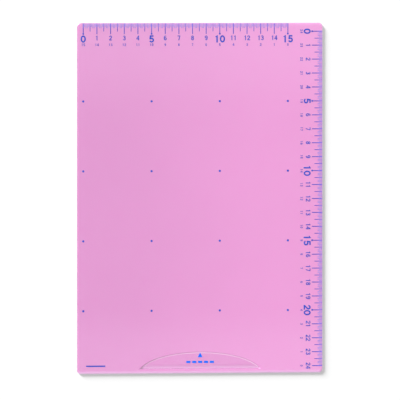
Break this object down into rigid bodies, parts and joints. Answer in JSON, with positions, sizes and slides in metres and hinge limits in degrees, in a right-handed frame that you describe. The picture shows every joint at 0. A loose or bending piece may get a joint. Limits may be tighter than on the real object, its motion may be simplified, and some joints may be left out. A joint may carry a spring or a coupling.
{
  "type": "pencil board",
  "caption": "Thin translucent writing board with printed centimetre scales on two edges, position dots and a nail recess at its foot.",
  "frame": {"origin": "centre of the flat underside", "axes": "+Z out of the printed face; +Y towards the edge with the short scale; +X towards the edge with the long scale"},
  "size_m": [0.18, 0.251, 0.0012],
  "materials": {
    "board_plastic": "satin translucent pink sheet",
    "violet_ink": "screen-printed ink",
    "blue_ink": "screen-printed ink"
  },
  "bodies": {
    "root": {"board": "board_plastic", "corner_bar": "violet_ink", "position_dot_1_1": "violet_ink", "position_dot_1_2": "violet_ink", "position_dot_1_3": "violet_ink", "position_dot_1_4": "violet_ink", "position_dot_2_1": "violet_ink", "position_dot_2_2": "violet_ink", "position_dot_2_3": "violet_ink", "position_dot_2_4": "violet_ink", "position_dot_3_1": "violet_ink", "position_dot_3_2": "violet_ink", "position_dot_3_3": "violet_ink", "position_dot_3_4": "violet_ink", "position_dot_4_1": "violet_ink", "position_dot_4_2": "violet_ink", "position_dot_4_3": "violet_ink", "position_dot_4_4": "violet_ink", "pull_arrow": "blue_ink", "pull_dash_1": "blue_ink", "pull_dash_2": "blue_ink", "pull_dash_3": "blue_ink", "pull_dash_4": "blue_ink", "pull_dash_5": "blue_ink", "side_numeral_0": "violet_ink", "side_numeral_10_tens": "violet_ink", "side_numeral_10_units": "violet_ink", "side_numeral_15_tens": "violet_ink", "side_numeral_15_units": "violet_ink", "side_numeral_20_tens": "violet_ink", "side_numeral_20_units": "violet_ink", "side_numeral_5": "violet_ink", "side_scale": "violet_ink", "top_numeral_0": "violet_ink", "top_numeral_10_tens": "violet_ink", "top_numeral_10_units": "violet_ink", "top_numeral_15_tens": "violet_ink", "top_numeral_15_units": "violet_ink", "top_numeral_5": "violet_ink", "top_scale": "violet_ink"}
  },
  "joints": []
}
